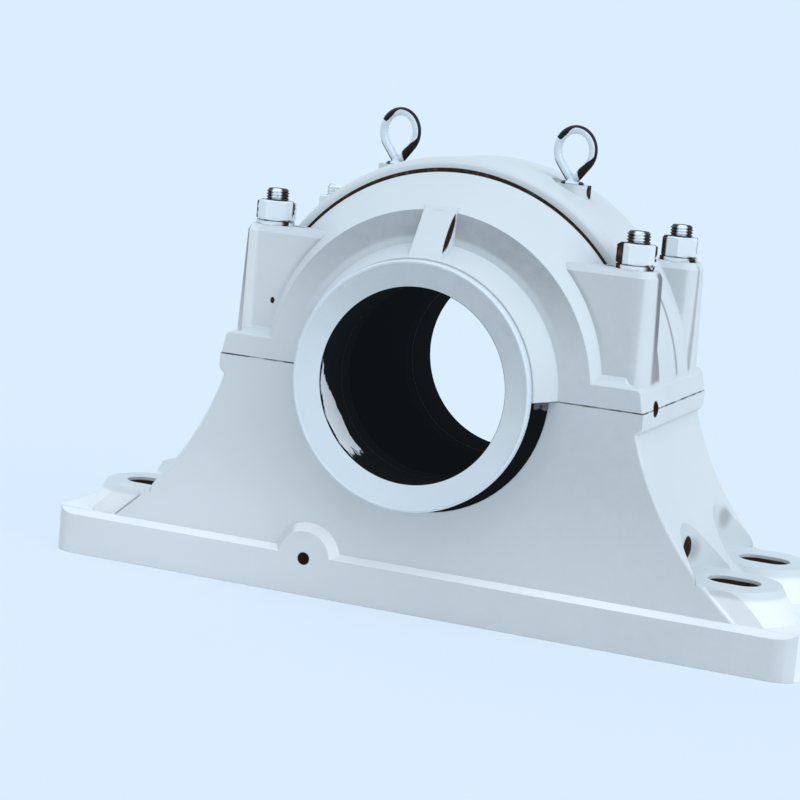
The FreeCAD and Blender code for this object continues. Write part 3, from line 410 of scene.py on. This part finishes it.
def thin_lines(make):
    upwards = make.over(make.z, 0.310, 0.060)
    front_lug = (make.over(make.y, -0.0840, 0.0050) * make.under(make.y, -0.0505, 0.0005)
                 * make.over(make.x, 0.2110, 0.0010))
    barrel_line = make.y + 0.126 * (make.z - 0.262)
    barrel = (make.within(barrel_line, 0.0122, 0.0190, 0.0014) * make.over(make.reach, BARREL_RADIUS, 0.0003)
              * make.over(make.x, 0.11, 0.01))
    rear_line = make.y - 0.078 * (make.z - 0.350)
    rear_lug = make.within(rear_line, 0.0670, 0.0725, 0.0020) * make.over(make.x, 0.2150, 0.0010)
    # All these lines are painted shade.
    lines = front_lug * (0.70 + 0.5 * upwards) | barrel * 0.65 | rear_lug * 0.5
    make.lay(lines * make.within(make.z, *LUG_HEIGHTS, 0.003), SHADE, 0.5)
    corner = make.within(make.y, -0.1070, -0.0900) * make.within(make.z, *CORNER_HEIGHTS, 0.003)
    leaning = make.x + 0.028 * (make.z - 0.360)
    # Painted light just inside the left lug's outer corner, then painted shade at its edge.
    make.lay(corner * make.under(leaning, -0.20675, 0.00275) * 0.45, PAINTED_LIGHT)
    make.lay(corner * make.under(leaning, -0.2184, 0.0006) * (0.35 + 0.6 * upwards), SHADE, 0.5)
    toe = make.within(make.along, *TOE_ALONG, 0.0002) * make.within(make.z, *TOE_HEIGHTS, 0.002)
    make.lay(toe * make.under(make.x, -0.2875, 0.0025) * 0.7, SHADE)


# %% [markdown]
# A few single marks are as plain to see as the big forms: a leaf-shaped dark
# slit beside the sloping rib, a chip on the front, and dark patches in the
# prising notches and by the nuts. By the eyebolts and in the hollows over the
# foot bolts they are painted shade. Each one is a soft ellipsoid: its centre,
# its radii and its tilt.

# %% Marks on the castings
SIDES = (1, -1)
# The marks by the eyebolts and in the hollows are painted shade; the others are dark marks.
MARKS = {
    "slit beside the rib": ((0.0168, -0.1316, 0.3945), (0.0022, 0.0060, 0.0240), 35.1),
    "chip on the front": ((-0.1827, -0.1060, 0.3009), (0.0026, 0.0060, 0.0036)),
    "by the right eyebolt": ((0.1185, 0.0000, 0.4450), (0.0045, 0.0085, 0.0090)),
    "by the left eyebolt": ((-0.0780, 0.0000, 0.4510), (0.0028, 0.0130, 0.0050)),
    "by the right nut": ((0.1715, -0.0765, 0.3780), (0.0075, 0.0040, 0.0030)),
    "by the left nut": ((-0.1715, -0.0765, 0.3780), (0.0070, 0.0040, 0.0030)),
}
for side in SIDES:
    MARKS["notch", side] = (side * 0.2290, side * -0.0720, 0.2400), (0.0075, 0.0105, 0.0090)
    MARKS["hollow", side] = (side * 0.2725, -0.0470, 0.1010), (0.0060, 0.0085, 0.0120)
# Softer painted shade beside the hollows over the foot bolts.
SOFT_MARKS = {}
for side in SIDES:
    SOFT_MARKS["rear hollow", side] = (side * 0.2760, 0.0890, 0.1120), (0.0080, 0.0100, 0.0110)
    SOFT_MARKS["front hollow", side] = (side * 0.2750, -0.0370, 0.0980), (0.0080, 0.0110, 0.0110)
print("marks:", len(MARKS), "dark and", len(SOFT_MARKS), "soft")


def all_blobs(make, marks, fade):
    patches = 0.0
    for mark in marks.values():
        patches = make.blob(*mark, fade=fade) | patches
    return patches


# %% Castings, layer by layer
def casting_finish():
    make = Casting("cast_paint")
    # Painted light: a grey patch in the ring's mouth. Painted shade: the bore near black, apart from that
    # patch.
    lit_patch = make.lit_mouth_patch()
    shaded_bore = make.bore() * (1.0 - lit_patch * make.step(make.speck, 0.25, 0.45))
    make.lay(lit_patch, LIT_GAP_GREY, 0.6)
    make.lay(make.unpainted(), RAW_IRON, 0.7)
    painted_light_and_shade(make)
    make.lay(make.seam(), GRIME_AND_SHADE, 0.7)
    thin_lines(make)
    make.coat(shaded_bore, BORE_SHADE)
    # Painted shade beside the hollows.
    make.lay(all_blobs(make, SOFT_MARKS, 0.6) * 0.45, SHADE)
    # Dark marks, with painted shade by the eyebolts and in the hollows.
    chips_and_shade = make.step(all_blobs(make, MARKS, 0.35) * (0.6 + 0.8 * make.speck), 0.35, 0.75)
    # Painted shade in the foot slots and drain holes; the groove near black.
    make.blacken(make.slots() | make.drains() | make.groove() * (0.75 + 0.5 * make.speck) | chips_and_shade)
    print("castings:", len(make.nodes), "nodes")
    return make.done(rounding=0.0018)


cast_paint = casting_finish()

# %% [markdown]
# ## Labyrinth rings
#
# The rings are turned, not cast, so their paint lies smoother and a shade
# lighter, with painted shade round the upper right of the flange. Their bore is
# near black as painted shade, apart from a painted glint near the front on the
# left. The glint is drawn on the bore unrolled: the turn round the axis, counted
# from the left, by the depth from the front edge.

# %% Rings
RING_RADIUS, FLANGE_BACK, FLANGE_FRONT = 0.1004, 0.1155, 0.1530


def ring_finish():
    make = Paint("ring_paint", RING_PALE, RING_DEEP, 0.3)
    bore = make.under(make.distance(make.x, make.z, 0.0, AXIS_HEIGHT), RING_RADIUS, 0.0002)
    inner = make.under(abs(make.y), FLANGE_BACK, 0.0005)
    turn = make.math("ARCTAN2", AXIS_HEIGHT - make.z, -1.0 * make.x)
    stretched = make.add("ShaderNodeCombineXYZ", {}, {0: turn * 0.9, 1: make.y * 26.0, 2: 0.0})
    streaks = make.noise(6.0, 3.0, 0.6, stretched) - 0.5
    depth = make.y + FLANGE_FRONT + 0.014 * streaks
    deepest = 0.034 * make.step(turn, -0.22, 0.50)
    # Painted glint: a pale patch on the bore near the front, on the left.
    lit_patch = (make.over(depth, 0.0006, 0.0006) * make.under(depth - deepest, 0.0002, 0.0008)
             * make.within(turn + 0.5 * streaks, -0.14, 0.92, 0.03) * bore)
    make.lay(lit_patch, PAINTED_LIGHT)
    # Painted shade round the upper right of the flange's face.
    shaded = make.over(make.math("COSINE", turn + 1.84), 0.3, 0.6)
    flat = make.over(abs(make.facing(1)), 0.85, 0.05)
    make.lay(shaded * flat * (0.35 + 0.2 * make.speck), SHADE_FILM)
    # Painted shade: the bore and the ring's inner end near black.
    make.coat((bore | inner) * (1.0 - lit_patch), BORE_SHADE)
    print("rings:", len(make.nodes), "nodes")
    return make.done(rounding=0.0012)


ring_paint = ring_finish()

# %% [markdown]
# ## Steel, rubber and sealing metal
#
# Nuts and washers were painted over with the housing. Painted shade lies in
# their corners, on their left sides and along their right edges, with a painted
# shadow low at the front right. The stud ends above them are oily black steel
# with a painted highlight down the middle of the front; the rear left one is
# pale all round but its left edge, as painted light, and its nut carries no
# painted shade. Masks follow the angle round the nearest stud.

# %% Nuts and washers
STUD_ACROSS, STUD_ALONG = 0.198, 0.0795
WASHER_SHADOW_TOP, CORNER_FOOT = 0.3840, 0.3870  # heights on the nuts


def around_stud(make):
    """Angle round the nearest stud, from +X; 0 to the right, -pi/2 in front."""
    side = make.math("SIGN", make.x) * STUD_ACROSS
    end = make.math("SIGN", make.y) * STUD_ALONG
    return make.math("ARCTAN2", make.y - end, make.x - side)


def nut_finish():
    make = Paint("nut_paint", NUT_PALE, NUT_DEEP, 0.5)
    angle = around_stud(make)
    cloud = make.noise(60.0, 4.0, 0.6)
    patchy = make.step(make.noise(130.0, 4.0, 0.65), 0.36, 0.50)
    on_right = make.over(make.x, 0.0, 0.01)
    darkened = make.under(make.y, 0.0, 0.01) | on_right
    # Painted shade on the left sides, a painted shadow low at the front right, painted shade along the right
    # edges and in the corners; none on the rear left nut.
    left = make.under(angle - 0.42 * on_right, -2.61, 0.06) * make.step(cloud, 0.34, 0.42)
    right = make.within(angle, -0.80, -0.10, 0.15) * make.under(make.z, WASHER_SHADOW_TOP, 0.0010) * patchy
    corner = make.within(angle, 0.0, 0.25, 0.05) * make.over(make.z, CORNER_FOOT, 0.0010) * patchy
    make.blacken((left | right | corner | make.creases(0.006) * patchy * 0.8) * darkened)
    return make.done(rounding=0.0006)


# %% Studs
STUD_BLACK, STUD_RUST, STUD_BRIGHT = (0.028, 0.02, 0.016), (0.16, 0.085, 0.045), (0.80, 0.85, 0.88)
HIGHLIGHT_FOOT = 0.40525


def stud_finish():
    make = Finish("stud_steel")
    angle = around_stud(make)
    speck = make.noise(230.0, 4.0, 0.6)
    # Painted highlight down the middle of the front, above the nut.
    highlight = (make.within(angle, -1.72, -0.82, 0.15) * make.over(make.z, HIGHLIGHT_FOOT, 0.00125)
              * make.step(speck, 0.28, 0.40))
    # Painted light: the rear left stud is pale all round but its left edge.
    rear_left = make.under(make.x, -0.015, 0.005) * make.over(make.y, 0.015, 0.005)
    pale = highlight | rear_left * make.over(angle, -2.40, 0.05)
    colour = make.blend(make.step(speck, 0.54, 0.64), STUD_BLACK, STUD_RUST)
    colour = make.blend(pale, colour, STUD_BRIGHT)
    return make.finish(colour, 0.38 + 0.25 * speck, speck, 0.2, Metallic=0.55 - 0.35 * pale)


nut_paint = nut_finish()
stud_steel = stud_finish()
print("nuts and studs ready")

# %% [markdown]
# The eyebolts are pale plated steel, with painted shade along the right and the
# top of each eye and, in a stripe, at its lower left. Both are measured from
# the middle of the eye: how far out in any direction, or to the lower left.
# Painted shade also lies in the corner at each eye's foot.

# %% Eyebolts
EYE_ACROSS, EYE_HEIGHT = 0.098, 0.4849
EYE_PALE, EYE_SHADE = (0.70, 0.77, 0.82), (0.020, 0.014, 0.011)


def eye_finish():
    make = Finish("eye_steel")
    speck = make.noise(150.0, 4.0, 0.6)
    side = make.x - make.math("SIGN", make.x) * EYE_ACROSS
    height = make.z - EYE_HEIGHT
    angle = make.math("ARCTAN2", height, side)
    broad = make.within(angle, 1.90, 2.80, 0.35) | make.within(angle, -1.35, -0.40, 0.30)
    outer = make.distance(side, height) + 0.0048 * broad
    crown = make.over(outer, 0.0235, 0.0005) * make.within(angle, -1.30, 2.65, 0.05)
    lower_left = -0.766 * side - 0.643 * height
    stripe = make.over(lower_left, 0.0237, 0.0005) * make.within(angle, -2.90, -1.70, 0.05)
    # Painted shade along the right and top of each eye and in a stripe at its lower left.
    eye_shade = make.step((crown | stripe) * (0.65 + 0.7 * speck), 0.35, 0.6)
    # Painted shade in the corner at the eye's foot.
    foot_shade = make.creases(0.006) * make.step(speck, 0.35, 0.5)
    colour = make.blend(eye_shade, EYE_PALE, EYE_SHADE)
    colour = make.blend(foot_shade * 0.8, colour, GRIME_AND_SHADE)
    return make.finish(colour, 0.30 + 0.2 * speck, speck, 0.12, Metallic=0.25 + 0.6 * eye_shade)


# %% Plain metals and rubber
def steel(name, clean, shade_grime, reach=0.004, amount=0.9):
    make = Finish(name)
    speck = make.noise(260.0, 4.0, 0.6)
    # Grime, and painted shade in the creases from ambient occlusion.
    grime_and_shade = make.step(make.creases(reach) + 0.5 * speck, 0.35, 0.75) * amount
    colour = make.blend(grime_and_shade, clean, shade_grime)
    return make.finish(colour, 0.3 + 0.35 * grime_and_shade + 0.1 * speck, speck, 0.15, Metallic=0.9 - 0.8 * grime_and_shade)


def rubber_finish():
    make = Finish("ring_rubber")
    speck = make.noise(500.0, 3.0)
    colour = make.blend(speck, (0.009, 0.0095, 0.010), (0.016, 0.0165, 0.017))
    return make.finish(colour, 0.55 + 0.2 * speck, speck, 0.1, Specular_IOR_Level=0.1)


eye_steel = eye_finish()
bolt_steel = steel("bolt_steel", (0.55, 0.54, 0.52), (0.075, 0.045, 0.03))
seal_metal = steel("seal_metal", (0.72, 0.45, 0.26), (0.10, 0.06, 0.04), 0.003, 0.5)
ring_rubber = rubber_finish()
print("metals and rubber ready")

# %% Dress the frame's own nodes
def dress(material, *starts):
    for name, part in nodes.items():
        if name.startswith(starts):
            part.data.materials.clear()
            part.data.materials.append(material)


dress(cast_paint, "base_casting", "cap_casting")
dress(ring_paint, "front_labyrinth", "rear_labyrinth")
dress(ring_rubber, "front_rubber", "rear_rubber")
dress(nut_paint, "cap_nut", "stud_washer")
dress(stud_steel, "cap_stud")
dress(bolt_steel, "dowel_pin", "drain_plug")
dress(eye_steel, "eyebolt")
dress(seal_metal, "drain_plug_washer")
print("dressed", len(nodes), "nodes")

# %% [markdown]
# ## Threaded studs
#
# The solids carry plain studs. Close up, the ends above the nuts show a coarse
# thread, so each stud is drawn again as a grid round its axis. A row is one
# height, and the radius in it dips where the helix passes: the phase is the
# height over the pitch, less the turn. Two small rows drill a centre in its end.

# %% Shape of a stud with a cut thread
STUD_RADIUS, STUD_FOOT, STUD_TOP = 0.01198, 0.1982, 0.4159
PITCH, THREAD_DEPTH, THREAD_START = 0.003, 0.0016, 0.3800
CHAMFER, AROUND, ROWS_A_TURN = 0.0026, 44, 6
CENTRE = [(0.0032, 0.0), (0.0004, -0.0022)]  # radius, height over the top
TURNS = [2 * math.pi * k / AROUND for k in range(AROUND)]


def stud_radius(height, turn):
    limit = STUD_RADIUS - CHAMFER + min(STUD_TOP - height, height - STUD_FOOT, CHAMFER)
    if height < THREAD_START:
        return limit
    phase = (height / PITCH - turn / (2 * math.pi)) % 1.0
    ridge = min(max(abs(2 * phase - 1) * 1.3 - 0.15, 0.0), 1.0)
    return min(limit, STUD_RADIUS - THREAD_DEPTH * (1 - ridge))


def stud_rows():
    """Each row's height, and the radius at each turn in it."""
    length = STUD_TOP - THREAD_START
    steps = round(length / (PITCH / ROWS_A_TURN))
    heights = [STUD_FOOT, STUD_FOOT + CHAMFER, 0.30, THREAD_START - 0.0001]
    heights += [THREAD_START + length * i / steps for i in range(steps + 1)]
    rows = [(height, [stud_radius(height, turn) for turn in TURNS]) for height in heights]
    return rows + [(STUD_TOP + rise, [radius] * AROUND) for radius, rise in CENTRE]


def band(low, high):
    """The faces between two rows, from the numbers of their first points."""
    return [(low + k, low + (k + 1) % AROUND, high + (k + 1) % AROUND, high + k) for k in range(AROUND)]


# %% Draw the four studs
def threaded_stud(name, middle, material):
    rows = stud_rows()
    points = [(middle[0] + radius * math.cos(turn), middle[1] + radius * math.sin(turn), height)
              for height, radii in rows for radius, turn in zip(radii, TURNS)]
    starts = [row * AROUND for row in range(len(rows))]
    faces = [face for low, high in zip(starts, starts[1:]) for face in band(low, high)]
    faces += [tuple(reversed(range(AROUND))), tuple(range(starts[-1], starts[-1] + AROUND))]
    mesh = bpy.data.meshes.new(name)
    mesh.from_pydata(points, [], faces)
    mesh.polygons.foreach_set("use_smooth", [True] * len(mesh.polygons))
    mesh.set_sharp_from_angle(angle=math.radians(35))
    mesh.materials.append(material)
    piece = bpy.data.objects.new(name, mesh)
    scene.collection.objects.link(piece)
    return piece


for end, along in (("front", -STUD_ALONG), ("rear", STUD_ALONG)):
    for hand, across in (("left", -STUD_ACROSS), ("right", STUD_ACROSS)):
        corner = end + "_" + hand
        stud = threaded_stud("threaded_stud_" + corner, (across, along), stud_steel)
        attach(stud, "housing")
        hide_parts("cap_stud_" + corner)
        print(stud.name, len(stud.data.polygons), "faces")

# %% [markdown]
# ## Studio
#
# The photograph is overexposed: floor and sky are one pale blue, without a
# horizon. The world is an even sky in that blue, which gives most of the light.
# The floor's colour is such that, under all of this, it comes out as the same
# blue as the sky. Part of what is seen of it is a glow that lights nothing and
# makes up what the shaded part falls short of.

# %% Backdrop colour, floor
BACKDROP = (0.708, 0.855, 1.0)
FLOOR_LIGHT = (0.946, 1.042, 1.141)
FLOOR_COLOUR = (0.84, 0.86, 0.88)
FLOOR_GLOW = 0.72
GLOW = tuple((seen - (1 - FLOOR_GLOW) * colour * light) / FLOOR_GLOW
             for seen, colour, light in zip(BACKDROP, FLOOR_COLOUR, FLOOR_LIGHT))
FLOOR_SPAN = 60.0


def seen_rays(tree, most):
    """A factor: most for camera, glossy and transmission rays, 0 for the rest."""
    rays = tree.add("ShaderNodeLightPath", {}, {}).socket.node
    seen = 0.0
    for kind in ("Is Camera Ray", "Is Glossy Ray", "Is Transmission Ray"):
        seen = Wire(tree, rays.outputs[kind]) | seen
    return seen * most


def floor_material():
    """A matt floor that is seen part shaded, part in the backdrop's own colour."""
    material = bpy.data.materials.new("pale_blue")
    material.use_nodes = True
    tree = Tree(material.node_tree)
    tree.nodes.remove(tree.nodes["Principled BSDF"])
    matt = tree.add("ShaderNodeBsdfDiffuse", {}, {"Color": FLOOR_COLOUR})
    glow = tree.add("ShaderNodeEmission", {}, {"Color": GLOW})
    mixed = tree.add("ShaderNodeMixShader", {}, {0: seen_rays(tree, FLOOR_GLOW), 1: matt, 2: glow})
    tree.feed(tree.nodes["Material Output"].inputs["Surface"], mixed)
    return material


def floor_sheet(material):
    mesh = bpy.data.meshes.new("floor")
    half = FLOOR_SPAN / 2
    corners = [(-half, -half, 0), (half, -half, 0), (half, half, 0), (-half, half, 0)]
    mesh.from_pydata(corners, [], [(0, 1, 2, 3)])
    piece = bpy.data.objects.new("floor", mesh)
    scene.collection.objects.link(piece)
    piece.data.materials.append(material)
    return piece


floor_sheet(floor_material())
print("floor", FLOOR_SPAN, "m across")

# %% World
SKY_LIGHT, SKY_STRENGTH = (0.97, 0.985, 1.0), 0.56

world = bpy.data.worlds.new("studio")
scene.world = world
world.use_nodes = True
sky = Tree(world.node_tree)
sky.nodes.remove(sky.nodes["Background"])
lit = sky.add("ShaderNodeBackground", {}, {"Color": SKY_LIGHT, "Strength": SKY_STRENGTH})
seen = sky.add("ShaderNodeBackground", {}, {"Color": BACKDROP})
mixed = sky.add("ShaderNodeMixShader", {}, {0: seen_rays(sky, 1.0), 1: lit, 2: seen})
sky.feed(sky.nodes["World Output"].inputs["Surface"], mixed)
print("sky in the backdrop's blue")

# %% [markdown]
# Three very broad suns, one from the right, one from above and one from behind
# on the left, make the sides and the tops white while the front stays grey.

# %% Suns
PALE_BLUE, CLEAR_BLUE = (0.79, 0.885, 1.0), (0.66, 0.83, 1.0)


def broad_sun(name, towards, strength, spread, colour):
    """A soft sun; towards points from the object to the sun, spread is its width in degrees."""
    lamp = bpy.data.lights.new(name, "SUN")
    lamp.energy = strength
    lamp.color = colour
    lamp.angle = math.radians(spread)
    holder = bpy.data.objects.new(name, lamp)
    scene.collection.objects.link(holder)
    holder.matrix_world = Vector(towards).to_track_quat("Z", "Y").to_matrix().to_4x4()


broad_sun("key_sun", (0.86, -0.22, 0.46), 1.0, 50, PALE_BLUE)
broad_sun("top_sun", (0.10, -0.32, 0.94), 1.1, 60, CLEAR_BLUE)
broad_sun("rim_sun", (-0.80, 0.25, 0.55), 0.6, 50, CLEAR_BLUE)
scene.view_settings.view_transform = "Standard"
print("studio ready")

# %% End
print("scene set up")
